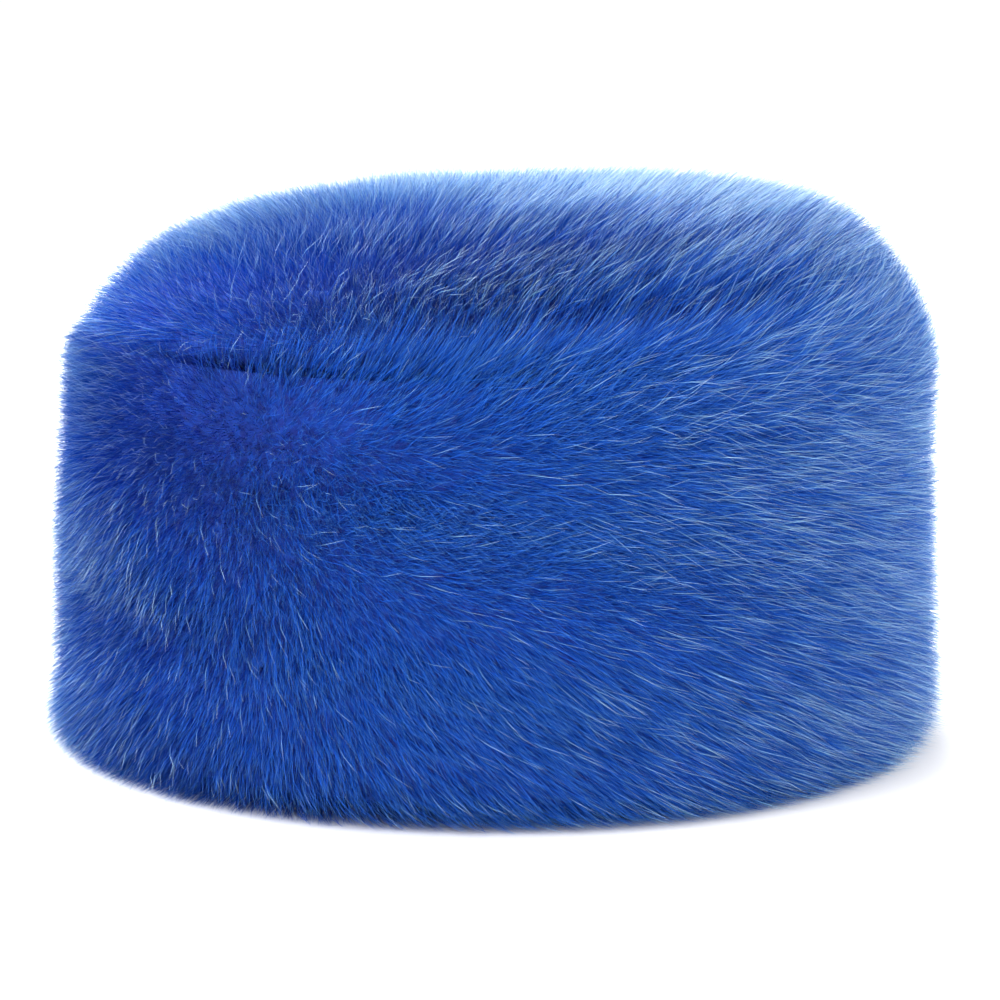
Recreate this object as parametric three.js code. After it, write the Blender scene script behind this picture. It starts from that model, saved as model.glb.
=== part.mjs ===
// A pillbox toque of long-pile faux fur: a side band closed into an oval ring, and a crown panel sewn
// over its top. Each panel is one piece, its knitted ground cloth with the pile fused to it: a bed of
// dense underfur, drawn out into locks whose tips carry the fur's outline. The head goes in from below.
//
// Millimetres, +Z up, +Y towards the back of the head. The origin is on the table, under the middle.
// Lengths measured outwards are on a round hat, and the last scaling makes it oval.
import * as THREE from "three";

// Driving dimensions
const HEAD_GIRTH = 578; // round the inside of the hem
const OVAL_X = 0.97; // ear to ear, against a round hat of the same girth
const OVAL_Y = 1.03; // brow to nape
const CLOTH = 2.5; // ground cloth with its seam allowance
const HEM_HEIGHT = 20; // the band's lower edge is turned in and lies double
const WALL_HEIGHT = 117; // table to seam
const CROWN_RISE = 5; // the crown's middle above the seam
const SEAM_GAP = 0.3; // between the two panels
const NAP = 24; // how far the band's tips are brushed round the head, anticlockwise from above
const CROWN_NAP = 9; // how far the crown's tips are brushed towards +X
const SHOULDER = 5; // how much higher the brim of the pile stands at +X than in the middle
const SHOULDER_FROM = 123; // the height at which that starts
const SHOULDER_TO = 143; // and at which it is whole

// The band's hair from the hem up, by the height of its root: how high its tip is above the table, and
// how far that reaches beyond the cloth.
const BAND_PILE = [
  { root: 2, tip: 0.6, reach: 33 },
  { root: 9, tip: 3, reach: 37 },
  { root: 19, tip: 11, reach: 39.5 },
  { root: 34, tip: 26, reach: 39.5 },
  { root: 52, tip: 47, reach: 39 },
  { root: 70, tip: 70, reach: 38.5 },
  { root: 98, tip: 105, reach: 37 },
  { root: 108, tip: 117, reach: 35.5 },
  { root: 115, tip: 126, reach: 30 },
];
// The crown's hair from the seam in, by how far out its root is: how far out its tip is, and its height
// above the table.
const CROWN_PILE = [
  { root: 94, tip: 127.5, height: 129 },
  { root: 91, tip: 122.5, height: 137.5 },
  { root: 84, tip: 113, height: 146.5 },
  { root: 70, tip: 95, height: 153.5 },
  { root: 52, tip: 69, height: 158 },
  { root: 31, tip: 41, height: 160.5 },
  { root: 0, tip: 0, height: 161 },
];
// Rows of locks. The cells of a row reach between two roots, and its tips grow from a third.
const BAND_ROWS = [
  { from: 2, to: 13, tip: 6, locks: 50 },
  { from: 13, to: 26, tip: 18, locks: 50 },
  { from: 26, to: 39, tip: 32, locks: 50 },
  { from: 39, to: 52, tip: 45, locks: 50 },
  { from: 52, to: 65, tip: 58, locks: 50 },
  { from: 65, to: 78, tip: 72, locks: 50 },
  { from: 78, to: 91, tip: 85, locks: 50 },
  { from: 91, to: 104, tip: 98, locks: 50 },
  { from: 104, to: 115, tip: 112, locks: 50 },
];
const CROWN_ROWS = [
  { from: 94, to: 81, tip: 91.5, locks: 42 },
  { from: 81, to: 67, tip: 76, locks: 36 },
  { from: 67, to: 54, tip: 61, locks: 30 },
  { from: 54, to: 41, tip: 48, locks: 24 },
  { from: 41, to: 28, tip: 35, locks: 18 },
  { from: 28, to: 15, tip: 21, locks: 12 },
  { from: 15, to: 0, tip: 8, locks: 6 },
];
// How far round each row starts after the last, in cells, so that no two corners meet.
const BAND_STAGGER = 1 / 2;
const CROWN_STAGGER = 1 / 12;
// A lock from the underfur to near its tip: its depth in the pile, and its share of its cell's width.
const LOCK_SECTIONS = [
  { depth: 0.62, width: 1 },
  { depth: 0.8, width: 0.62 },
];

// Values that follow from them
const INSIDE = HEAD_GIRTH / (2 * Math.PI);
const WALL_INSIDE = INSIDE + CLOTH;
const CLOTH_OUT = WALL_INSIDE + CLOTH;
const SOLE = WALL_HEIGHT + SEAM_GAP;

// A value from -1 to 1 that is the same on every run.
function jitter(seed) {
  const s = Math.sin(seed * 12.9898 + 4.1414) * 43758.5453;
  return 2 * (s - Math.floor(s)) - 1;
}

// A column of a pile's table at any root, on straight lines between its rows.
function pileAt(pile, root, column) {
  const next = Math.max(1, pile.findIndex((row) => (root - row.root) * (root - pile[0].root) <= 0));
  const [near, far] = [pile[next - 1], pile[next]];
  const share = (root - near.root) / (far.root - near.root);
  return near[column] + share * (far[column] - near[column]);
}

// A point at a turn round the hat, 0 and 1 on +X.
function around(turn, out, height) {
  return new THREE.Vector3(
    out * Math.cos(2 * Math.PI * turn),
    out * Math.sin(2 * Math.PI * turn),
    height,
  );
}

// The point at a depth along a hair, 0 at its root and 1 at its tip. Pairs are out and height.
function alongHair(root, bend, tip, depth) {
  const [a, b, c] = [root, bend, tip].map(([out, height]) => new THREE.Vector2(out, height));
  return new THREE.QuadraticBezierCurve(a, b, c).getPoint(depth);
}

// The pile's upper edge stands higher at +X and lower at -X.
function shouldered(point) {
  const share = THREE.MathUtils.clamp((point.z - SHOULDER_FROM) / (SHOULDER_TO - SHOULDER_FROM), 0, 1);
  point.z += (SHOULDER * share * point.x) / CROWN_PILE[0].tip;
  return point;
}

// A band hair leaves the cloth straight and then bends up or down, brushed round the head.
function bandHair(turn, root, depth) {
  const tip = pileAt(BAND_PILE, root, "tip");
  const reach = pileAt(BAND_PILE, root, "reach");
  const bend = [CLOTH_OUT + 0.55 * reach, root + 0.35 * (tip - root)];
  const { x: out, y: height } = alongHair([CLOTH_OUT, root], bend, [CLOTH_OUT + reach, tip], depth);
  return shouldered(around(turn + (NAP * depth * depth) / (2 * Math.PI * out), out, height));
}

// A crown hair stands up from the dome of cloth and splays outwards, the more the nearer the seam.
function crownHair(turn, root, depth) {
  const share = root / CROWN_PILE[0].root;
  const cloth = SOLE + CLOTH + CROWN_RISE * (1 - share * share);
  const tip = pileAt(CROWN_PILE, root, "tip");
  const height = pileAt(CROWN_PILE, root, "height");
  const bend = [root + (0.25 + 0.3 * share) * (tip - root), cloth + 0.6 * (height - cloth)];
  const point = alongHair([root, cloth], bend, [tip, height], depth);
  const placed = around(turn, point.x, point.y);
  placed.x += CROWN_NAP * (1 - share * share * share) * depth * depth;
  return shouldered(placed);
}

// A skin that grows line by line. A line is the skin's points at one place along it, round the hat.
class Skin {
  points = [];
  faces = [];

  add(point) {
    return this.points.push(point) - 1;
  }

  // Fills between a line and the next. Either can be a single point on the middle line.
  join(line, next) {
    const count = Math.max(line.length, next.length);
    for (let k = 0; k < count; k += 1) {
      const after = (k + 1) % count;
      if (line.length > 1) this.faces.push(line[k].id, line[after].id, next[k % next.length].id);
      if (next.length > 1) this.faces.push(line[after % line.length].id, next[after].id, next[k].id);
    }
  }

  ring(turns, out, height) {
    if (out === 0) return [{ turn: 0, id: this.add(around(0, 0, height)) }];
    return turns.map((turn) => ({ turn, id: this.add(around(turn, out, height)) }));
  }

  geometry() {
    const geometry = new THREE.BufferGeometry().setFromPoints(this.points);
    geometry.setIndex(this.faces);
    geometry.computeVertexNormals();
    return geometry;
  }
}

// The line where two rows of cells meet, with a corner for each cell of both. Corners of a row lean back
// into it, so the cells are six-sided. The first and last lines have one row's corners only.
function cornerLine(skin, rows, stagger, hair, index) {
  const at = index < rows.length ? rows[index].from : rows.at(-1).to;
  if (at === 0) return [{ turn: 0, id: skin.add(hair(0, 0, LOCK_SECTIONS[0].depth)) }];
  const corners = [];
  for (const row of [index - 1, index]) {
    if (rows[row]) {
      const { from, to, locks } = rows[row];
      const inner = index > 0 && index < rows.length;
      const lean = inner ? (row < index ? -1 : 1) * (to - from) : 0;
      for (let k = 0; k < locks; k += 1) {
        const root = at + lean * (0.16 + 0.07 * jitter(900 * index + 60 * row + k));
        const turn = (k + ((row * stagger) % 1)) / locks;
        corners.push({ turn, id: skin.add(hair(turn, root, LOCK_SECTIONS[0].depth)) });
      }
    }
  }
  return corners.sort((a, b) => a.turn - b.turn);
}

// The corners of a line from one turn to another.
function stretch(line, start, end) {
  if (line.length === 1) return [line[0].id];
  const twice = [...line, ...line.map(({ turn, id }) => ({ turn: turn + 1, id }))];
  return twice.filter(({ turn }) => turn > start - 1e-6 && turn < end + 1e-6).map(({ id }) => id);
}

// A lock over a cell: the cell's outline drawn in along a hair, and closed at the hair's tip.
function lock(skin, cell, turn, root, hair, length) {
  const [foot, waist] = LOCK_SECTIONS;
  const footMiddle = hair(turn, root, foot.depth);
  const waistMiddle = hair(turn, root, waist.depth);
  const narrow = cell.map((id) => {
    const outwards = skin.points[id].clone().sub(footMiddle);
    return skin.add(waistMiddle.clone().addScaledVector(outwards, waist.width));
  });
  const tip = skin.add(hair(turn, root, length));
  cell.forEach((id, i) => {
    const j = (i + 1) % cell.length;
    skin.faces.push(id, cell[j], narrow[j], id, narrow[j], narrow[i], narrow[i], narrow[j], tip);
  });
}

// The pile of a panel, with its first and last lines.
function pelt(skin, rows, stagger, hair) {
  const lines = [...rows, null].map((_, index) => cornerLine(skin, rows, stagger, hair, index));
  rows.forEach(({ from, to, tip, locks }, row) => {
    for (let k = 0; k < locks; k += 1) {
      const seed = 70 * row + k;
      const [start, end] = [0, 1].map((step) => (k + ((row * stagger) % 1) + step) / locks);
      const cell = [
        ...stretch(lines[row], start, end),
        ...stretch(lines[row + 1], start, end).reverse(),
      ];
      const turn = (start + end) / 2 + (0.24 * jitter(seed + 0.2)) / locks;
      const root = tip + 0.12 * (to - from) * jitter(seed + 0.5);
      lock(skin, cell, turn, root, hair, 0.96 + 0.04 * jitter(seed + 0.8));
    }
  });
  return { first: lines[0], last: lines.at(-1) };
}

// The ground cloth of the band with its turned hem, from the seam down the inside and out to the pile.
function sideBand() {
  const skin = new Skin();
  const { first, last } = pelt(skin, BAND_ROWS, BAND_STAGGER, bandHair);
  const turns = first.map(({ turn }) => turn);
  const cloth = [
    { out: CLOTH_OUT, height: WALL_HEIGHT },
    { out: WALL_INSIDE, height: WALL_HEIGHT },
    { out: WALL_INSIDE, height: HEM_HEIGHT },
    { out: INSIDE, height: HEM_HEIGHT },
    { out: INSIDE, height: 0 },
    { out: CLOTH_OUT, height: 0 },
    { out: CLOTH_OUT + 1, height: 1 },
  ].map(({ out, height }) => skin.ring(turns, out, height));
  [last, ...cloth].forEach((line, i) => skin.join(line, cloth[i] ?? first));
  return skin.geometry();
}

// The crown's panel of ground cloth, slightly domed, from its middle out to the pile.
function crown() {
  const skin = new Skin();
  const { first } = pelt(skin, CROWN_ROWS, CROWN_STAGGER, crownHair);
  const turns = first.map(({ turn }) => turn);
  const cloth = [
    { out: 0, height: SOLE + CROWN_RISE },
    { out: CLOTH_OUT / 2, height: SOLE + CROWN_RISE * 0.75 },
    { out: CLOTH_OUT, height: SOLE },
  ].map(({ out, height }) => skin.ring(turns, out, height));
  cloth.forEach((line, i) => skin.join(line, cloth[i + 1] ?? first));
  return skin.geometry();
}

function panel(name, geometry) {
  const blueFur = new THREE.MeshStandardMaterial({ color: 0x1b4db4, roughness: 0.85, metalness: 0 });
  const mesh = new THREE.Mesh(geometry, blueFur);
  mesh.name = name;
  return mesh;
}

const toque = new THREE.Group();
toque.scale.set(OVAL_X, OVAL_Y, 1);
toque.add(panel("side_band", sideBand()), panel("crown", crown()));

export default toque;
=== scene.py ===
# A royal blue toque of long-pile faux fur: two panels of knitted ground cloth, the side band and
# the crown, sewn together, and the pile that grows from them. It stands on a pale floor.
#
# Millimetres in the tables and properties, metres in Blender. Lengths measured outwards are on a
# round hat, which one last scaling makes oval, as the frame is. A turn is a share of a full turn,
# 0 on +X. A depth is a place along a hair, 0 at its root and 1 at its tip.
import math

import bmesh
import bpy
import numpy as np
from bpy.props import FloatProperty, IntProperty, PointerProperty, StringProperty
from mathutils import Matrix, Vector


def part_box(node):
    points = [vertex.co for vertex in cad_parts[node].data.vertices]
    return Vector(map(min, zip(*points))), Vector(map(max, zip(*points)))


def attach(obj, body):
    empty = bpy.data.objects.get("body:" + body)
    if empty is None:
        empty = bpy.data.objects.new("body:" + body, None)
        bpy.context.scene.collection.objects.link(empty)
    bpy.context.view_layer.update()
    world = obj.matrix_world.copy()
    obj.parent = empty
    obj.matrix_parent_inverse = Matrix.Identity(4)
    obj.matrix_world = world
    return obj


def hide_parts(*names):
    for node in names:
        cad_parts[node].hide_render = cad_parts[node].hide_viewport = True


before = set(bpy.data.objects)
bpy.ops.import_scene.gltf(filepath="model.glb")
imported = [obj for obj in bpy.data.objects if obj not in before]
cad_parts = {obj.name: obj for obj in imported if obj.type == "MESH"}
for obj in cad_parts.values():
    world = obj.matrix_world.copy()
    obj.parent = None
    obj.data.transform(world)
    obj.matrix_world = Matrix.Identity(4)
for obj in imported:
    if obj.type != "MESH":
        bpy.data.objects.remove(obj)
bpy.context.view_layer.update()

bl_info = {
    "name": "Faux Fur Toque",
    "version": (1, 0, 0),
    "blender": (4, 5, 0),
    "location": "3D View > Sidebar > Toque",
    "description": "Dresses a toque in long-pile faux fur, hair by hair",
    "category": "Object",
}

MM = 0.001
BODY = "root"

# The hat's sizes in mm, from the frame where it holds them.
CROWN_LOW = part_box("crown")[0]
HEAD_GIRTH = 578
OVAL = (0.97, 1.03)
CLOTH = 2.5
HEM_HEIGHT = 20
SEAM_GAP = 0.3
WALL_HEIGHT = CROWN_LOW.z / MM - SEAM_GAP
CROWN_RISE = 5
INSIDE = HEAD_GIRTH / (2 * math.pi)
WALL_INSIDE = INSIDE + CLOTH
CLOTH_OUT = WALL_INSIDE + CLOTH
CROWN_EDGE = CLOTH_OUT - 3
SOLE = WALL_HEIGHT + SEAM_GAP
LATHE_STEPS = 160
# The underfur's clearance from the cloth, and that of the hem's fold from the floor.
CLOTH_CLEAR = 0.5
FOLD_CLEAR = 0.2
RIB_SPACING = 1.6
COURSE_SPACING = 1.2
THREAD = 0.7

# The pile's outline, where its longest hairs end, from the table over the brim to the middle.
OUTLINE = (
    dict(out=134.5, height=0.6),
    dict(out=137.5, height=4),
    dict(out=139.2, height=12),
    dict(out=138.8, height=30),
    dict(out=137.5, height=72),
    dict(out=136.5, height=104),
    dict(out=136, height=113),
    dict(out=134.5, height=120),
    dict(out=132.5, height=127.5),
    dict(out=129, height=134.5),
    dict(out=124, height=141),
    dict(out=117, height=148.3),
    dict(out=109, height=153.6),
    dict(out=92, height=159.8),
    dict(out=62, height=164.8),
    dict(out=0, height=165.7),
)
# How the band's hair droops: the height of a root, and that of its tip.
DROOP = (
    dict(root=1, tip=0.6),
    dict(root=10, tip=2),
    dict(root=20, tip=8),
    dict(root=34, tip=21),
    dict(root=50, tip=39),
    dict(root=68, tip=62),
    dict(root=84, tip=84),
    dict(root=98, tip=104),
)
# At the front right the band's hair stands up over the seam, and at the back left it lies away
# from it. The two panels' tips stay clear of the parting by the margin.
PARTING_LOW = 124
PARTING_RISE = 20
PARTING_TURN = 0.88
PARTING_MARGIN = 0.3
# Where it lies away from it, the crown's hair ends further in, and this is how far.
PARTING_LEDGE = 2.2
LEDGE_REACH = 10
# The brim of the pile stands higher at +X than in the middle, and lower at -X.
SHOULDER = 2.4
SHOULDER_FROM = 112
SHOULDER_TO = 140
# Just below the brim the pile is swept to +X, and on the floor at -X it spreads.
SWEPT = 1.6
SWEPT_HEIGHT = 116
SWEPT_REACH = 20
SPREAD = 3
SPREAD_HEIGHT = 22
# How far out of the cloth hair is swept whole, and how far either way the outline's slope is taken.
SWEPT_WHOLE = 30
SLOPE_REACH = 14

# The underfur's surface in the pile, and the lowest root that it covers.
UNDERFUR_DEPTH = 0.69
UNDERFUR_FROM = 12
UNDERFUR_LOW = UNDERFUR_FROM - 3
# Where the points of a hair are. Pile starts below the underfur's surface, which hides the rest.
PILE_DEPTHS = np.array([0.54, 0.79, 1.0])
GUARD_DEPTHS = np.array([0.66, 0.86, 1.0])
RIM_DEPTHS = np.array([0.02, 0.5, 1.0])
# The pile's colour darkens with depth as painted shade. Rim hair isn't shaded by the pile above it,
# and so is drawn as if it lay less deep.
RIM_TONES = np.array([0.55, 0.75, 1.0])
BAND_SECTORS = 3
CROWN_SECTORS = 2
# How far a hair is drawn to its tuft, how many mm its tip strays, and how many more it is brushed.
HAIR_KINDS = {
    "pile": dict(pull=0.5, mess=3.6, lie=0),
    "rim": dict(pull=0.5, mess=3.6, lie=0),
    "guard": dict(pull=0.3, mess=3, lie=4),
}
# A pile hair's length as a share of the outline's, and a guard hair's.
PILE_LENGTH = dict(mean=0.91, spread=0.06, shortest=0.74, longest=1.01)
GUARD_LENGTH = dict(shortest=0.96, longest=1.11)
GUARD_WIDTH = 0.42
# A flat hair's turn about its own length, either way, in radians.
ROLL = 1.35
TIP_CLEAR = 0.4
TUFT_LEAN = 0.3
FLOW = 3.5
# How much of a hair's shading comes from the whole pile's surface.
PILE_SHARE = 0.2
# How thick the pale guard hair is round the hat, which paints the highlight of the sheen on the
# rims:
# thickest at the left, and thinnest at the front left, where the pile is seen end-on.
GUARD_HIGHLIGHT_DENSITY = (
    dict(turn=0, share=1.1),
    dict(turn=0.1, share=0.9),
    dict(turn=0.25, share=0.8),
    dict(turn=0.43, share=1.5),
    dict(turn=0.51, share=2.3),
    dict(turn=0.56, share=1.3),
    dict(turn=0.62, share=0.14),
    dict(turn=0.71, share=0.06),
    dict(turn=0.77, share=0.22),
    dict(turn=0.83, share=0.8),
    dict(turn=0.9, share=1.1),
    dict(turn=1, share=1.1),
)
# On the crown it is nowhere thinner than this, and it thins out from the middle to the edge, so
# that the painted highlight is thickest on top.
CROWN_GUARD_LEAST = 0.75
CROWN_HIGHLIGHT_THINNING = 1.2

CAMERA_TARGET = (0.001, 0, 0.0685)
SENSOR = 36
LENS = 144
FLOOR_SIZE = 10
WORLD_LIGHT = 1.08
LIGHT_TARGET = (0, 0, 0.07)
LIGHTS = (
    dict(name="key", place=(-1.5, -1.0, 1.9), size=1.2, power=44),
    dict(name="fill", place=(-0.9, -1.7, 0.4), size=0.8, power=10),
    dict(name="right_rim", place=(1.6, 0.8, 0.8), size=1.2, power=20),
    dict(name="left_rim", place=(-1.6, 0.9, 0.6), size=0.9, power=26),
    dict(name="top_rim", place=(-0.3, 1.2, 1.4), size=1.4, power=50),
)


def column(table, name):
    return np.array([row[name] for row in table], float)


def smooth(share):
    share = np.clip(share, 0, 1)
    return share * share * (3 - 2 * share)


OUTLINE_OUT = column(OUTLINE, "out")
OUTLINE_HEIGHT = column(OUTLINE, "height")
OUTLINE_AT = np.concatenate(
    [[0], np.cumsum(np.hypot(np.diff(OUTLINE_OUT), np.diff(OUTLINE_HEIGHT)))]
)


def outline(at):
    """The outline's point at a distance along it from the table, as out and height."""
    return np.interp(at, OUTLINE_AT, OUTLINE_OUT), np.interp(at, OUTLINE_AT, OUTLINE_HEIGHT)


def outline_at_height(height):
    """The distance along the outline at which it reaches a height."""
    return np.interp(height, OUTLINE_HEIGHT, OUTLINE_AT)


def lift(turn):
    """How far the band's hair stands up over the seam, from 0 to 1."""
    return (0.5 + 0.5 * np.cos(2 * math.pi * (turn - PARTING_TURN))) ** 2


def parting(turn):
    """Where along the outline the furs of the two panels part."""
    return outline_at_height(PARTING_LOW + PARTING_RISE * lift(turn))


def outline_normal(turn, at):
    """The outline's outward normal, smoothed over the brim."""
    low_out, low_height = outline(np.clip(at - SLOPE_REACH, 0, None))
    high_out, high_height = outline(np.clip(at + SLOPE_REACH, None, OUTLINE_AT[-1]))
    angle = 2 * math.pi * turn
    flat = high_height - low_height
    normal = np.stack([flat * np.cos(angle), flat * np.sin(angle), low_out - high_out], -1)
    return normal / np.linalg.norm(normal, axis=-1, keepdims=True)


def round_the_hat(turn, out, height):
    """Points in metres from turns and mm."""
    angle = 2 * math.pi * turn
    x = OVAL[0] * out * np.cos(angle)
    y = OVAL[1] * out * np.sin(angle)
    share = smooth((height - SHOULDER_FROM) / (SHOULDER_TO - SHOULDER_FROM))
    swept = SWEPT * np.exp(-(((height - SWEPT_HEIGHT) / SWEPT_REACH) ** 2))
    swept = swept - SPREAD * (0.5 - 0.5 * np.cos(angle)) * (1 - smooth(height / SPREAD_HEIGHT))
    reached = np.clip((out - CLOTH_OUT) / SWEPT_WHOLE, 0, 1)
    return np.stack([x + swept * reached, y, height + SHOULDER * share * x / CLOTH_OUT], -1) * MM


def along(root, bend, tip, depth):
    """The value at a depth along a hair, for each of its coordinates by itself."""
    return (1 - depth) ** 2 * root + 2 * depth * (1 - depth) * bend + depth * depth * tip


class Pile:
    """The pile of one panel: where a hair is, given its root's place and a depth. Tips of roots
    past the seam's edge lie beyond the parting, among the other panel's."""

    def __init__(self, nap, low, high):
        self.nap = nap
        self.low = low
        self.high = high


class BandPile(Pile):
    def tip_at(self, turn, root):
        drooped = column(DROOP, "root")
        parted = np.maximum((root - drooped[-1]) / (WALL_HEIGHT - drooped[-1]), 0)
        at = outline_at_height(np.interp(root, drooped, column(DROOP, "tip")))
        return at + parted * (self.end(turn) - at)

    def end(self, turn):
        return parting(turn) - PARTING_MARGIN * (1 - lift(turn))

    def place(self, turn, root, depth):
        tip_out, tip_height = outline(self.tip_at(turn, root))
        root = np.clip(root, self.low, self.high)
        out = along(CLOTH_OUT, 0.45 * CLOTH_OUT + 0.55 * tip_out, tip_out, depth)
        height = along(root, 0.68 * root + 0.32 * tip_height, tip_height, depth)
        return round_the_hat(turn + self.nap * depth**2 / (2 * math.pi * out), out, height)

    def root_for(self, turn, share):
        """The root whose tip is at a share of the outline that this panel's pile covers."""
        drooped = column(DROOP, "root")
        at = share * self.end(turn)
        last = outline_at_height(DROOP[-1]["tip"])
        below = np.interp(at, outline_at_height(column(DROOP, "tip")), drooped)
        parted = (at - last) / (self.end(turn) - last)
        return np.where(at < last, below, drooped[-1] + parted * (WALL_HEIGHT - drooped[-1]))

    def girth(self, root):
        return 2 * math.pi * (CLOTH_OUT + 30) * np.ones_like(root)


class CrownPile(Pile):
    def tip_at(self, turn, root):
        start = parting(turn) + PARTING_MARGIN * (1 - lift(turn))
        return start + (1 - root / CROWN_EDGE) * (OUTLINE_AT[-1] - start)

    def place(self, turn, root, depth):
        tip_at = self.tip_at(turn, root)
        tip_out, tip_height = outline(tip_at)
        ledge = PARTING_LEDGE * (1 - lift(turn))
        tip_out = tip_out - ledge * np.exp(-np.maximum(tip_at - parting(turn), 0) / LEDGE_REACH)
        share = np.clip(root / CROWN_EDGE, 0, 1)
        root = np.clip(root, self.low, self.high)
        cloth = SOLE + CLOTH + CROWN_RISE * (1 - share * share)
        out = along(root, root + (0.2 + 0.3 * share) * (tip_out - root), tip_out, depth)
        height = along(cloth, cloth + 0.6 * (tip_height - cloth), tip_height, depth)
        placed = round_the_hat(turn, out, height)
        placed[..., 0] += self.nap * (1 - share**3) * depth**2 * MM
        return placed

    def root_for(self, turn, share):
        """The root whose tip is at a share of the area that this panel's pile covers."""
        roots = np.linspace(0, CROWN_EDGE, 200)
        outs = outline(self.tip_at(0.75, roots))[0]
        return np.interp(share, np.cumsum(outs) / outs.sum(), roots)

    def girth(self, root):
        return 2 * math.pi * np.maximum(root, 8)


BAND = BandPile(nap=15, low=1, high=WALL_HEIGHT)
CROWN = CrownPile(nap=10, low=0, high=CROWN_EDGE)


def noise(turn, root, seed):
    """A smooth field over a panel, from -1 to 1, that closes round the hat."""
    waves, across = 5, 30
    random = np.random.default_rng(seed)
    total = np.zeros(np.broadcast(turn, root).shape)
    for _ in range(6):
        count = random.integers(1, waves + 1)
        lean = random.uniform(-1, 1) / across
        phase = random.uniform(0, 2 * math.pi)
        total = total + np.sin(2 * math.pi * (count * turn + lean * root) + phase)
    return total / 3


class Tufts:
    """Tufts on a panel in rows, each with its own lean. Rows are a tuft apart."""

    def __init__(self, pile, spacing, random):
        self.pile = pile
        self.spacing = spacing
        self.rows = max(1, round((pile.high - pile.low) / spacing))
        middles = pile.low + (np.arange(self.rows) + 0.5) * (pile.high - pile.low) / self.rows
        self.counts = np.maximum(3, np.round(pile.girth(middles) / (spacing * 1.15))).astype(int)
        self.starts = np.concatenate([[0], np.cumsum(self.counts)[:-1]])
        total = self.counts.sum()
        row = np.repeat(np.arange(self.rows), self.counts)
        place_in_row = np.arange(total) - self.starts[row]
        self.turn = (place_in_row + 0.5 * (row % 2) + random.uniform(-0.3, 0.3, total)) / (
            self.counts[row]
        )
        self.root = middles[row] + random.uniform(-0.35, 0.35, total) * spacing
        self.lean = random.normal(0, 1, (total, 3))

    def of(self, turn, root):
        """The index of the tuft that each root belongs to."""
        step = (self.pile.high - self.pile.low) / self.rows
        row = np.clip(((root - self.pile.low) / step).astype(int), 0, self.rows - 1)
        in_row = np.floor(turn * self.counts[row] - 0.5 * (row % 2) + 0.5).astype(int)
        return self.starts[row] + in_row % self.counts[row]


def grow(pile, turn, root, depths, length, tufts, pull, mess, lie, random):
    """The points of each hair at the given depths, and the pile's normal where it ends. A hair is
    drawn towards its tuft with depth. In mm, mess is how far its tip strays and lie how much
    further than the others it is brushed over."""
    tuft = tufts.of(turn, root)
    depth = depths[None, :] * length[:, None]
    drawn = pull[:, None] * smooth((depth - 0.25) / 0.75)
    towards = (tufts.turn[tuft] - turn + 0.5) % 1 - 0.5
    stray = random.normal(0, 1, (len(turn), 2)) * mess + np.array([lie, 0])
    lean = tufts.lean[tuft, :2] * tufts.spacing * TUFT_LEAN
    flow = np.stack([noise(turn, root, 11), noise(turn, root, 12)], -1) * FLOW
    shift = (stray + lean + flow)[:, None, :] * (depth**2)[..., None]
    at_turn = turn[:, None] + drawn * towards[:, None] + shift[..., 0] / pile.girth(root)[:, None]
    at_root = root[:, None] + drawn * (tufts.root[tuft] - root)[:, None] + shift[..., 1]
    at_root = np.maximum(at_root, pile.low)
    points = pile.place(at_turn, at_root, depth)
    return points, outline_normal(at_turn[:, -1], pile.tip_at(at_turn[:, -1], at_root[:, -1]))


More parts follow.
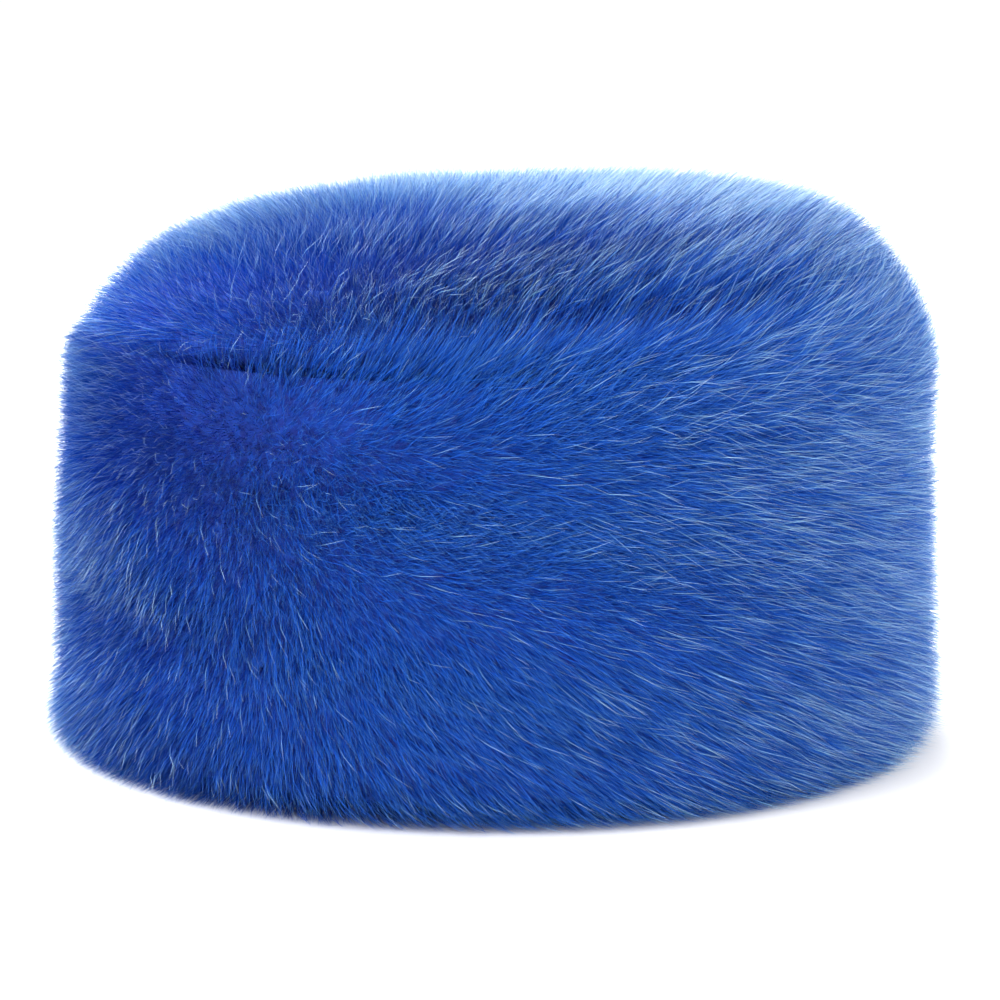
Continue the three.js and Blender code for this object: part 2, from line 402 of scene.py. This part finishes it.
def hair_mesh(name, points, normals, width, roll, tone, depths):
    """A joined mesh of flat hairs, each a spindle: a point at the root, pairs of corners between
    and a point at the tip. Its OFBake map holds the hair's tone across and the depth along it. A
    mass of fine hair takes the light as a whole, so each is shaded partly by the pile's normal."""
    count, steps, _ = points.shape
    lengthwise = np.gradient(points, axis=1)
    lengthwise /= np.linalg.norm(lengthwise, axis=-1, keepdims=True) + 1e-12
    across = np.cross(lengthwise, normals[:, None, :])
    across /= np.linalg.norm(across, axis=-1, keepdims=True) + 1e-9
    over = np.cross(across, lengthwise)
    side = np.cos(roll)[:, None, None] * across + np.sin(roll)[:, None, None] * over
    facing = np.cross(side, lengthwise)
    half = 0.5 * MM * width[:, None, None] * side[:, 1:-1]
    inner = points[:, 1:-1]
    pairs = np.stack([inner + half, inner - half], 2).reshape(count, -1, 3)
    vertices = np.concatenate([points[:, :1], pairs, points[:, -1:]], 1)
    each = vertices.shape[1]
    corners = [[0, 1, 2]]
    corners += [[k + 1, k + 3, k + 4, k + 2] for k in range(0, 2 * steps - 6, 2)]
    corners.append([each - 3, each - 1, each - 2])
    sizes = np.array([len(face) for face in corners])
    loops = np.concatenate(corners)
    mesh = bpy.data.meshes.new(name)
    mesh.vertices.add(count * each)
    mesh.vertices.foreach_set("co", vertices.astype(np.float32).ravel())
    indices = (loops[None, :] + each * np.arange(count)[:, None]).ravel()
    mesh.loops.add(len(indices))
    mesh.loops.foreach_set("vertex_index", indices.astype(np.int32))
    mesh.polygons.add(count * len(corners))
    starts = np.concatenate([[0], np.cumsum(np.tile(sizes, count))[:-1]])
    mesh.polygons.foreach_set("loop_start", starts.astype(np.int32))
    mesh.polygons.foreach_set("loop_total", np.tile(sizes, count).astype(np.int32))
    step_of = np.array([0, *np.repeat(np.arange(1, steps - 1), 2), steps - 1])
    side_of = np.array([0, *np.tile([1, -1], steps - 2), 0])
    u = 0.02 + 0.95 * tone[:, None] + 0.01 * side_of[None, :]
    v = np.broadcast_to(depths[step_of][None, :], (count, each))
    uv = np.stack([u[:, loops], v[:, loops]], -1)
    mesh.uv_layers.new(name="OFBake").data.foreach_set("uv", uv.astype(np.float32).ravel())
    mesh.update(calc_edges=True)
    mesh.polygons.foreach_set("use_smooth", np.ones(count * len(corners), bool))
    shaded = PILE_SHARE * normals[:, None, :] + (1 - PILE_SHARE) * facing[:, step_of]
    shaded = (shaded / np.linalg.norm(shaded, axis=-1, keepdims=True)).reshape(-1, 3)
    mesh.normals_split_custom_set_from_vertices(shaded.astype(np.float32))
    return mesh


def srgb(code):
    """A hex colour as linear red, green, blue and alpha."""
    parts = [int(code[i : i + 2], 16) / 255 for i in (1, 3, 5)]
    linear = [c / 12.92 if c <= 0.04045 else ((c + 0.055) / 1.055) ** 2.4 for c in parts]
    return (*linear, 1)


def node(material, kind, settings=None, **inputs):
    """Adds a node with its settings and links. An input's name has _ for a space. A tuple of a node
    and an output's name is a link, and anything else is a value."""
    made = material.node_tree.nodes.new(kind)
    for key, value in (settings or {}).items():
        setattr(made, key, value)
    for key, value in inputs.items():
        socket = made.inputs[int(key[1:]) if key[1:].isdigit() else key.replace("_", " ")]
        if isinstance(value, tuple) and isinstance(value[0], bpy.types.Node):
            material.node_tree.links.new(value[0].outputs[value[1]], socket)
        else:
            socket.default_value = value
    return made


def ramp(made, stops):
    """Sets a colour ramp's stops: pairs of a place and a hex colour."""
    elements = made.color_ramp.elements
    while len(elements) < len(stops):
        elements.new(1)
    for element, (place, code) in zip(elements, stops):
        element.position = place
        element.color = srgb(code)
    return made


def new_material(name):
    material = bpy.data.materials.new(name)
    material.use_nodes = True
    material.node_tree.nodes.clear()
    return material


def finish_material(material, shader):
    output = material.node_tree.nodes.new("ShaderNodeOutputMaterial")
    material.node_tree.links.new(shader.outputs["BSDF"], output.inputs["Surface"])
    return material


def hair_material(name, stops, darkest, palest, tint, roughness, sheen, shine):
    """Brushed acrylic hair: navy in the depth of the fur, darker there as painted shade, and paler
    towards the tips, partly its own frosting and partly painted highlight; each hair with its own
    tone, and the sheen of a mass of fine fibres where it is seen along its surface."""
    material = bpy.data.materials.get(name)
    if material:
        return material
    material = new_material(name)
    uv = node(material, "ShaderNodeUVMap", {"uv_map": "OFBake"})
    parts = node(material, "ShaderNodeSeparateXYZ", Vector=(uv, "UV"))
    depth = ramp(node(material, "ShaderNodeValToRGB", Fac=(parts, "Y")), stops)
    tone = node(
        material,
        "ShaderNodeMapRange",
        Value=(parts, "X"),
        To_Min=darkest,
        To_Max=palest,
    )
    toned = node(
        material, "ShaderNodeHueSaturation", Color=(depth, "Color"), Value=(tone, "Result")
    )
    shader = node(
        material,
        "ShaderNodeBsdfPrincipled",
        Base_Color=(toned, "Color"),
        Roughness=roughness,
        Sheen_Weight=sheen,
        Sheen_Roughness=0.3,
        Specular_IOR_Level=shine,
        Sheen_Tint=srgb(tint),
    )
    return finish_material(material, shader)


def pile_material():
    # Darker at the root as painted shade of the pile's depth, and paler at the tip, partly the
    # fibres' frosting and partly painted highlight of the rims.
    stops = (
        (0.54, "#142e90"),
        (0.68, "#1148ba"),
        (0.84, "#124db3"),
        (0.93, "#1d5abb"),
        (1.0, "#64a0d6"),
    )
    return hair_material("royal_blue_pile", stops, 0.6, 1.35, "#c4d8f2", 0.45, 0.08, 0.1)


def guard_material():
    # Pale towards the tip: partly the guard hair's own colour, partly painted highlight of the
    # rims' sheen.
    stops = ((0.7, "#2c66b2"), (0.86, "#70aad6"), (1.0, "#d0e8f6"))
    return hair_material("pale_guard_hair", stops, 0.6, 1.25, "#cfe6f6", 0.35, 0.8, 0.5)


def underfur_material():
    """The dense underfur, seen only in the gaps between tufts, where hardly any light comes."""
    material = new_material("navy_underfur")
    position = node(material, "ShaderNodeTexCoord")
    noise_node = node(
        material, "ShaderNodeTexNoise", Vector=(position, "Object"), Scale=400.0, Detail=3.0
    )
    colour = ramp(
        node(material, "ShaderNodeValToRGB", Fac=(noise_node, "Fac")),
        ((0.35, "#16308c"), (0.6, "#1246ae")),
    )
    shader = node(
        material, "ShaderNodeBsdfPrincipled", Base_Color=(colour, "Color"), Roughness=0.9
    )
    return finish_material(material, shader)


def add_piece(name, mesh, material, slot, *replaced):
    """Puts a mesh in the scene as a piece that rides on the hat."""
    mesh.materials.append(material)
    piece = bpy.data.objects.new(name, mesh)
    bpy.context.scene.collection.objects.link(piece)
    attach(piece, BODY)
    if replaced:
        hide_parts(*replaced)
    return piece


def lathe(name, profile):
    """A solid of revolution from a closed profile of out and height in mm, made oval."""
    made = bmesh.new()
    corners = [made.verts.new((out * MM, 0, height * MM)) for out, height in profile]
    edges = [made.edges.new((corners[i - 1], corners[i])) for i in range(len(corners))]
    bmesh.ops.spin(
        made,
        geom=corners + edges,
        cent=(0, 0, 0),
        axis=(0, 0, 1),
        angle=2 * math.pi,
        steps=LATHE_STEPS,
        use_merge=True,
        use_duplicate=False,
    )
    bmesh.ops.remove_doubles(made, verts=made.verts, dist=1e-6)
    bmesh.ops.scale(made, vec=(*OVAL, 1), verts=made.verts)
    bmesh.ops.recalc_face_normals(made, faces=made.faces)
    for face in made.faces:
        face.smooth = True
    mesh = bpy.data.meshes.new(name)
    made.to_mesh(mesh)
    made.free()
    return mesh


def underfur_line(pile, roots):
    """The underfur's surface over a row of roots, at +Y, as out and height in mm."""
    turns, depths = np.full(len(roots), 0.25), np.full(len(roots), UNDERFUR_DEPTH)
    points = pile.place(turns, roots, depths)
    out = np.hypot(points[:, 0] / OVAL[0], points[:, 1] / OVAL[1]) / MM
    return list(zip(out, points[:, 2] / MM))


def arc(middle_out, middle_height, radius, start, end, steps):
    """Points of an arc in a profile, between two angles in degrees."""
    angles = np.radians(np.linspace(start, end, steps))
    outs = middle_out + radius * np.cos(angles)
    return list(zip(outs, middle_height + radius * np.sin(angles)))


def knit_map(mesh, flat):
    """A UV map in mm of cloth for the knit: across a flat panel, or round the band and up it."""
    layer = mesh.uv_layers.new(name="knit").data
    for face in mesh.polygons:
        middle = math.atan2(face.center.y, face.center.x)
        for loop in face.loop_indices:
            corner = mesh.vertices[mesh.loops[loop].vertex_index].co
            turned = math.remainder(math.atan2(corner.y, corner.x) - middle, 2 * math.pi) + middle
            place = (corner.x, corner.y) if flat else (turned * WALL_INSIDE * MM, corner.z)
            layer[loop].uv = (place[0] / MM, place[1] / MM)


def knit_material():
    """Warp-knitted polyester, the ground cloth of faux fur: fine ribs on the back, dull and dense.
    The ribs are drawn 1.6 mm apart, about twice as coarse as real ones, so that they show."""
    material = new_material("navy_knit_backing")
    uv = node(material, "ShaderNodeUVMap", {"uv_map": "knit"})
    parts = node(material, "ShaderNodeSeparateXYZ", Vector=(uv, "UV"))
    waves = []
    for axis, spacing in (("X", RIB_SPACING), ("Y", COURSE_SPACING)):
        turns = node(
            material,
            "ShaderNodeMath",
            {"operation": "MULTIPLY"},
            _0=(parts, axis),
            _1=2 * math.pi / spacing,
        )
        waves.append(node(material, "ShaderNodeMath", {"operation": "SINE"}, _0=(turns, 0)))
    loops_height = node(
        material,
        "ShaderNodeMath",
        {"operation": "MULTIPLY_ADD"},
        _0=(waves[1], 0),
        _1=0.4,
        _2=(waves[0], 0),
    )
    fuzz = node(material, "ShaderNodeTexNoise", Vector=(uv, "UV"), Scale=2.0, Detail=4.0)
    height = node(
        material,
        "ShaderNodeMath",
        {"operation": "MULTIPLY_ADD"},
        _0=(fuzz, "Fac"),
        _1=1.2,
        _2=(loops_height, 0),
    )
    # The knit is coloured darker in its hollows and paler on its ribs: painted shade, with the
    # fuzz's random tone mixed in.
    shade_from_height = node(
        material, "ShaderNodeMapRange", Value=(height, 0), From_Min=-1.2, From_Max=2.4
    )
    colour = ramp(
        node(material, "ShaderNodeValToRGB", Fac=(shade_from_height, "Result")),
        ((0.0, "#10246c"), (0.6, "#20429c"), (1.0, "#3058b6")),
    )
    bump = node(
        material, "ShaderNodeBump", Height=(height, 0), Strength=0.6, Distance=0.0004
    )
    shader = node(
        material,
        "ShaderNodeBsdfPrincipled",
        Base_Color=(colour, "Color"),
        Normal=(bump, "Normal"),
        Roughness=0.85,
        Sheen_Weight=0.08,
        Sheen_Roughness=0.5,
    )
    return finish_material(material, shader)


def thread_material():
    """Spun polyester sewing thread, twisted, with a soft shine."""
    material = new_material("blue_sewing_thread")
    place = node(material, "ShaderNodeTexCoord")
    twist = node(
        material,
        "ShaderNodeTexWave",
        {"bands_direction": "DIAGONAL"},
        Vector=(place, "Object"),
        Scale=900.0,
        Distortion=1.0,
    )
    # The twist is darker where it is sunk, as the bump is: painted shade in its grooves.
    colour = ramp(
        node(material, "ShaderNodeValToRGB", Fac=(twist, "Fac")),
        ((0.2, "#1a3a94"), (0.8, "#3565c8")),
    )
    bump = node(material, "ShaderNodeBump", Height=(twist, "Fac"), Strength=0.3, Distance=0.0002)
    shader = node(
        material,
        "ShaderNodeBsdfPrincipled",
        Base_Color=(colour, "Color"),
        Normal=(bump, "Normal"),
        Roughness=0.55,
    )
    return finish_material(material, shader)


def stitches(name, count, out, height, length, slant):
    """A joined mesh of stitches round the inside of the hat: threads that lie on the cloth and dip
    into it at both ends. Sizes are in mm, and slant is in degrees from upright."""
    made = bmesh.new()
    for number in range(count):
        angle = 2 * math.pi * number / count
        before = set(made.verts)
        bmesh.ops.create_uvsphere(made, u_segments=6, v_segments=5, radius=0.5 * length * MM)
        stitch = [v for v in made.verts if v not in before]
        thin = THREAD / length
        bmesh.ops.scale(made, vec=(thin, thin, 1), verts=stitch)
        bmesh.ops.rotate(made, matrix=Matrix.Rotation(math.radians(slant), 3, "X"), verts=stitch)
        bmesh.ops.rotate(made, matrix=Matrix.Rotation(angle, 3, "Z"), verts=stitch)
        place = (
            OVAL[0] * out * math.cos(angle) * MM,
            OVAL[1] * out * math.sin(angle) * MM,
            height * MM,
        )
        bmesh.ops.translate(made, vec=place, verts=stitch)
    for face in made.faces:
        face.smooth = True
    mesh = bpy.data.meshes.new(name)
    made.to_mesh(mesh)
    made.free()
    return mesh


class ToqueFur(bpy.types.PropertyGroup):
    band_hairs: IntProperty(
        name="Band hairs", description="Hairs on the side band", default=288000, min=1000
    )
    rim_hairs: IntProperty(
        name="Rim hairs", description="Hairs that lie under the hat", default=10000, min=100
    )
    crown_hairs: IntProperty(
        name="Crown hairs", description="Hairs on the crown", default=116000, min=1000
    )
    guard_hairs: IntProperty(
        name="Guard hairs", description="Long pale hairs on both panels", default=59000, min=100
    )
    tuft: FloatProperty(
        name="Tuft", description="How far apart tufts are, in mm", default=3.4, min=1
    )
    width: FloatProperty(
        name="Hair width", description="A hair's width at its middle, in mm", default=0.2, min=0.05
    )


class ToqueStage(bpy.types.PropertyGroup):
    azimuth: FloatProperty(name="Azimuth", description="Camera's turn, in degrees", default=0)
    elevation: FloatProperty(
        name="Elevation", description="Camera's height, in degrees", default=9.6
    )
    distance: FloatProperty(
        name="Distance", description="Camera to hat", default=1.2, unit="LENGTH"
    )
    floor_colour: StringProperty(
        name="Floor", description="The floor's colour, as sRGB hex", default="#fafafa"
    )


def hairs(pile, count, fur, depths, random, kind="pile"):
    """The turns of a panel's hairs, and what hair_mesh takes of them."""
    turn = random.uniform(0, 1, count)
    # Guard hair is sampled thickest where it paints the rims' highlight.
    if kind == "guard":
        turns = np.linspace(0, 1, 400)
        density = np.interp(turns, column(GUARD_HIGHLIGHT_DENSITY, "turn"), column(GUARD_HIGHLIGHT_DENSITY, "share"))
        shares = np.cumsum(np.maximum(density, CROWN_GUARD_LEAST if pile is CROWN else 0))
        turn = np.interp(turn * shares[-1], shares, turns)
    share = random.uniform(0, 1, count)
    if kind == "guard" and pile is CROWN:
        thinning = CROWN_HIGHLIGHT_THINNING
        most = 1 + thinning / 2
        share = (most - np.sqrt(most**2 - 2 * thinning * share)) / thinning
    root = pile.root_for(turn, share)
    if kind == "rim":
        root = random.uniform(pile.low, UNDERFUR_LOW, count)
    tufts = Tufts(pile, fur.tuft, np.random.default_rng(5))
    own = HAIR_KINDS[kind]
    if kind == "guard":
        length = random.uniform(GUARD_LENGTH["shortest"], GUARD_LENGTH["longest"], count)
        pull = random.uniform(0, own["pull"], count)
        width = GUARD_WIDTH * fur.width * np.ones(count)
        tone = random.uniform(0, 1, count)
    else:
        length = random.normal(PILE_LENGTH["mean"], PILE_LENGTH["spread"], count)
        length = np.clip(length, PILE_LENGTH["shortest"], PILE_LENGTH["longest"])
        pull = random.uniform(0, own["pull"], count)
        width = fur.width * random.uniform(0.7, 1.2, count)
        tone = random.beta(2.2, 2.2, count)
    points, normals = grow(
        pile, turn, root, depths, length, tufts, pull, own["mess"], own["lie"], random
    )
    points[..., 2] = np.maximum(points[..., 2], TIP_CLEAR * MM)
    roll = random.uniform(-ROLL, ROLL, count)
    return turn, (points, normals, width, roll, tone)


def grow_sectors(name, turn, grown, sectors):
    """Adds a panel's pile in pieces, each a sector of the hat."""
    order = np.argsort(turn, kind="stable")
    for number, mine in enumerate(np.array_split(order, sectors), 1):
        mesh = hair_mesh(f"{name}_{number}", *(values[mine] for values in grown), PILE_DEPTHS)
        add_piece(mesh.name, mesh, pile_material(), "blue_faux_fur")


class TOQUE_OT_band_fur(bpy.types.Operator):
    """Grows the pile of the side band"""

    bl_idname = "toque.band_fur"
    bl_label = "Band fur"

    def execute(self, context):
        fur = context.scene.toque_fur
        turn, grown = hairs(BAND, fur.band_hairs, fur, PILE_DEPTHS, np.random.default_rng(1))
        grow_sectors("band_fur", turn, grown, BAND_SECTORS)
        return {"FINISHED"}


class TOQUE_OT_rim_fur(bpy.types.Operator):
    """Grows the hair that lies under the hat, from the hem outwards"""

    bl_idname = "toque.rim_fur"
    bl_label = "Rim fur"

    def execute(self, context):
        fur = context.scene.toque_fur
        random = np.random.default_rng(4)
        _, grown = hairs(BAND, fur.rim_hairs, fur, RIM_DEPTHS, random, "rim")
        points, normals, width, roll, tone = grown
        mesh = hair_mesh("rim_fur", points, normals, 1.5 * width, 0.6 * roll, tone, RIM_TONES)
        add_piece("rim_fur", mesh, pile_material(), "blue_faux_fur")
        return {"FINISHED"}


class TOQUE_OT_crown_fur(bpy.types.Operator):
    """Grows the pile of the crown"""

    bl_idname = "toque.crown_fur"
    bl_label = "Crown fur"

    def execute(self, context):
        fur = context.scene.toque_fur
        turn, grown = hairs(CROWN, fur.crown_hairs, fur, PILE_DEPTHS, np.random.default_rng(2))
        grow_sectors("crown_fur", turn, grown, CROWN_SECTORS)
        return {"FINISHED"}


class TOQUE_OT_guard_hair(bpy.types.Operator):
    """Grows the long pale hairs that stand out of the pile, gathered where they paint the highlight
    on the rims
    """

    bl_idname = "toque.guard_hair"
    bl_label = "Guard hair"

    def execute(self, context):
        fur = context.scene.toque_fur
        random = np.random.default_rng(3)
        material = guard_material()
        for name, pile, share in (("band", BAND, 0.52), ("crown", CROWN, 0.48)):
            count = int(share * fur.guard_hairs)
            _, grown = hairs(pile, count, fur, GUARD_DEPTHS, random, "guard")
            mesh = hair_mesh(f"{name}_guard_hair", *grown, GUARD_DEPTHS)
            add_piece(f"{name}_guard_hair", mesh, material, "blue_faux_fur")
        return {"FINISHED"}


class TOQUE_OT_underfur(bpy.types.Operator):
    """Makes the dense underfur that shows between the tufts"""

    bl_idname = "toque.underfur"
    bl_label = "Underfur"

    def execute(self, context):
        material = underfur_material()
        roots = np.linspace(UNDERFUR_FROM, BAND.high, 30)
        band = [
            (CLOTH_OUT + CLOTH_CLEAR, UNDERFUR_LOW),
            *underfur_line(BAND, roots),
            (CLOTH_OUT + CLOTH_CLEAR, WALL_HEIGHT),
        ]
        add_piece("band_underfur", lathe("band_underfur", band), material, "blue_faux_fur")
        roots = np.linspace(CROWN.high, 0, 20)
        crown = [
            (0, SOLE + CROWN_RISE + CLOTH + CLOTH_CLEAR),
            (CROWN_EDGE, SOLE + CLOTH + CLOTH_CLEAR),
            *underfur_line(CROWN, roots),
        ]
        add_piece("crown_underfur", lathe("crown_underfur", crown), material, "blue_faux_fur")
        return {"FINISHED"}


class TOQUE_OT_cloth(bpy.types.Operator):
    """Makes the ground cloth of both panels, with the hem turned in and sewn"""

    bl_idname = "toque.cloth"
    bl_label = "Ground cloth"

    def execute(self, context):
        knit = knit_material()
        self.band_cloth(knit)
        self.crown_cloth(knit)
        self.sewing(knit)
        return {"FINISHED"}

    def band_cloth(self, knit):
        fold = (CLOTH_OUT - INSIDE) / 2
        turned_edge = 1.1
        profile = [
            (CLOTH_OUT, WALL_HEIGHT),
            *arc(INSIDE + fold, fold + FOLD_CLEAR, fold, 0, -180, 9),
            *arc(INSIDE + turned_edge, HEM_HEIGHT - turned_edge, turned_edge, 180, 60, 5),
            (WALL_INSIDE - 0.5, HEM_HEIGHT - 0.6),
            (WALL_INSIDE - 0.1, HEM_HEIGHT - 2),
            (WALL_INSIDE, HEM_HEIGHT),
            (WALL_INSIDE, WALL_HEIGHT),
        ]
        mesh = lathe("band_cloth", profile)
        knit_map(mesh, flat=False)
        cloth = add_piece("band_cloth", mesh, knit, "ground_cloth", "side_band")

    def crown_cloth(self, knit):
        outs = np.linspace(0, CLOTH_OUT - 0.5, 9)
        rise = CROWN_RISE * (1 - (outs / outs[-1]) ** 2)
        under = list(zip(outs, SOLE + rise))
        over = list(zip(outs, SOLE + CLOTH + rise))
        mesh = lathe("crown_cloth", under + over[::-1])
        knit_map(mesh, flat=True)
        cloth = add_piece("crown_cloth", mesh, knit, "ground_cloth", "crown")

    def sewing(self, knit):
        seam = lathe("crown_seam", arc(WALL_INSIDE - 1.1, WALL_HEIGHT - 1.6, 1.5, 0, 330, 12))
        knit_map(seam, flat=False)
        add_piece("crown_seam", seam, knit, "ground_cloth")
        add_piece("back_seam", self.back_seam(), knit, "ground_cloth")
        thread = thread_material()
        hem = stitches(
            "hem_stitches", 110, out=INSIDE - 0.1, height=HEM_HEIGHT - 3, length=4.5, slant=30
        )
        add_piece("hem_stitches", hem, thread, "ground_cloth")
        over = stitches(
            "seam_stitches",
            170,
            out=WALL_INSIDE - 2.5,
            height=WALL_HEIGHT - 1.8,
            length=3.4,
            slant=15,
        )
        add_piece("seam_stitches", over, thread, "ground_cloth")

    def back_seam(self):
        """The band's ends, sewn together at the back: a flat ridge up the inside."""
        made = bmesh.new()
        bmesh.ops.create_cube(made, size=1)
        wide, thick, tall = 7, 1.6, WALL_HEIGHT - HEM_HEIGHT - 4
        bmesh.ops.scale(made, vec=(wide * MM, thick * MM, tall * MM), verts=made.verts)
        bmesh.ops.bevel(
            made,
            geom=made.edges,
            offset=0.7 * MM,
            offset_type="OFFSET",
            affect="EDGES",
            segments=3,
            profile=0.5,
            material=-1,
        )
        place = (0, (OVAL[1] * WALL_INSIDE - 0.5) * MM, (HEM_HEIGHT + 0.5 + tall / 2) * MM)
        bmesh.ops.translate(made, vec=place, verts=made.verts)
        mesh = bpy.data.meshes.new("back_seam")
        made.to_mesh(mesh)
        made.free()
        knit_map(mesh, flat=False)
        return mesh


class TOQUE_OT_stage(bpy.types.Operator):
    """Sets the camera, the lights and the pale floor"""

    bl_idname = "toque.stage"
    bl_label = "Stage"

    def execute(self, context):
        stage = context.scene.toque_stage
        self.place_camera(context, stage)
        self.lay_floor(context, stage)
        self.light(context)
        return {"FINISHED"}

    def place_camera(self, context, stage):
        target = Vector(CAMERA_TARGET)
        azimuth, elevation = math.radians(stage.azimuth), math.radians(stage.elevation)
        direction = Vector(
            (
                math.sin(azimuth) * math.cos(elevation),
                -math.cos(azimuth) * math.cos(elevation),
                math.sin(elevation),
            )
        )
        camera = bpy.data.objects.new("camera", bpy.data.cameras.new("camera"))
        camera.location = target + stage.distance * direction
        camera.rotation_euler = (-direction).to_track_quat("-Z", "Y").to_euler()
        camera.data.sensor_width = SENSOR
        camera.data.lens = LENS
        context.scene.collection.objects.link(camera)
        context.scene.camera = camera

    def lay_floor(self, context, stage):
        made = bmesh.new()
        bmesh.ops.create_grid(made, x_segments=1, y_segments=1, size=FLOOR_SIZE)
        mesh = bpy.data.meshes.new("floor")
        made.to_mesh(mesh)
        made.free()
        material = new_material("pale_floor")
        shader = node(
            material,
            "ShaderNodeBsdfPrincipled",
            Base_Color=srgb(stage.floor_colour),
            Roughness=0.9,
        )
        mesh.materials.append(finish_material(material, shader))
        floor = bpy.data.objects.new("floor", mesh)
        context.scene.collection.objects.link(floor)

    def light(self, context):
        scene = context.scene
        scene.view_settings.view_transform = "Standard"
        world = scene.world or bpy.data.worlds.new("studio")
        scene.world = world
        world.use_nodes = True
        background = world.node_tree.nodes["Background"]
        background.inputs["Color"].default_value = (1, 1, 1, 1)
        background.inputs["Strength"].default_value = WORLD_LIGHT
        for light in LIGHTS:
            data = bpy.data.lights.new(light["name"], "AREA")
            data.size = light["size"]
            data.energy = light["power"]
            lamp = bpy.data.objects.new(light["name"], data)
            lamp.location = light["place"]
            to_hat = Vector(LIGHT_TARGET) - Vector(light["place"])
            lamp.rotation_euler = to_hat.to_track_quat("-Z", "Y").to_euler()
            scene.collection.objects.link(lamp)


class TOQUE_PT_panel(bpy.types.Panel):
    """The toque's panel in the 3D view's sidebar"""

    bl_idname = "TOQUE_PT_panel"
    bl_label = "Faux Fur Toque"
    bl_space_type = "VIEW_3D"
    bl_region_type = "UI"
    bl_category = "Toque"

    def draw(self, context):
        for group in (context.scene.toque_fur, context.scene.toque_stage):
            for name in group.__annotations__:
                self.layout.prop(group, name)
        for operator in OPERATORS:
            self.layout.operator(operator.bl_idname)


OPERATORS = (
    TOQUE_OT_stage,
    TOQUE_OT_cloth,
    TOQUE_OT_underfur,
    TOQUE_OT_band_fur,
    TOQUE_OT_rim_fur,
    TOQUE_OT_crown_fur,
    TOQUE_OT_guard_hair,
)
CLASSES = (ToqueFur, ToqueStage, *OPERATORS, TOQUE_PT_panel)


def register():
    for each in CLASSES:
        bpy.utils.register_class(each)
    bpy.types.Scene.toque_fur = PointerProperty(type=ToqueFur)
    bpy.types.Scene.toque_stage = PointerProperty(type=ToqueStage)


def unregister():
    del bpy.types.Scene.toque_stage
    del bpy.types.Scene.toque_fur
    for each in reversed(CLASSES):
        bpy.utils.unregister_class(each)


def main():
    register()
    bpy.ops.toque.stage()
    bpy.ops.toque.cloth()
    bpy.ops.toque.underfur()
    bpy.ops.toque.band_fur()
    bpy.ops.toque.rim_fur()
    bpy.ops.toque.crown_fur()
    bpy.ops.toque.guard_hair()


if __name__ == "__main__":
    main()
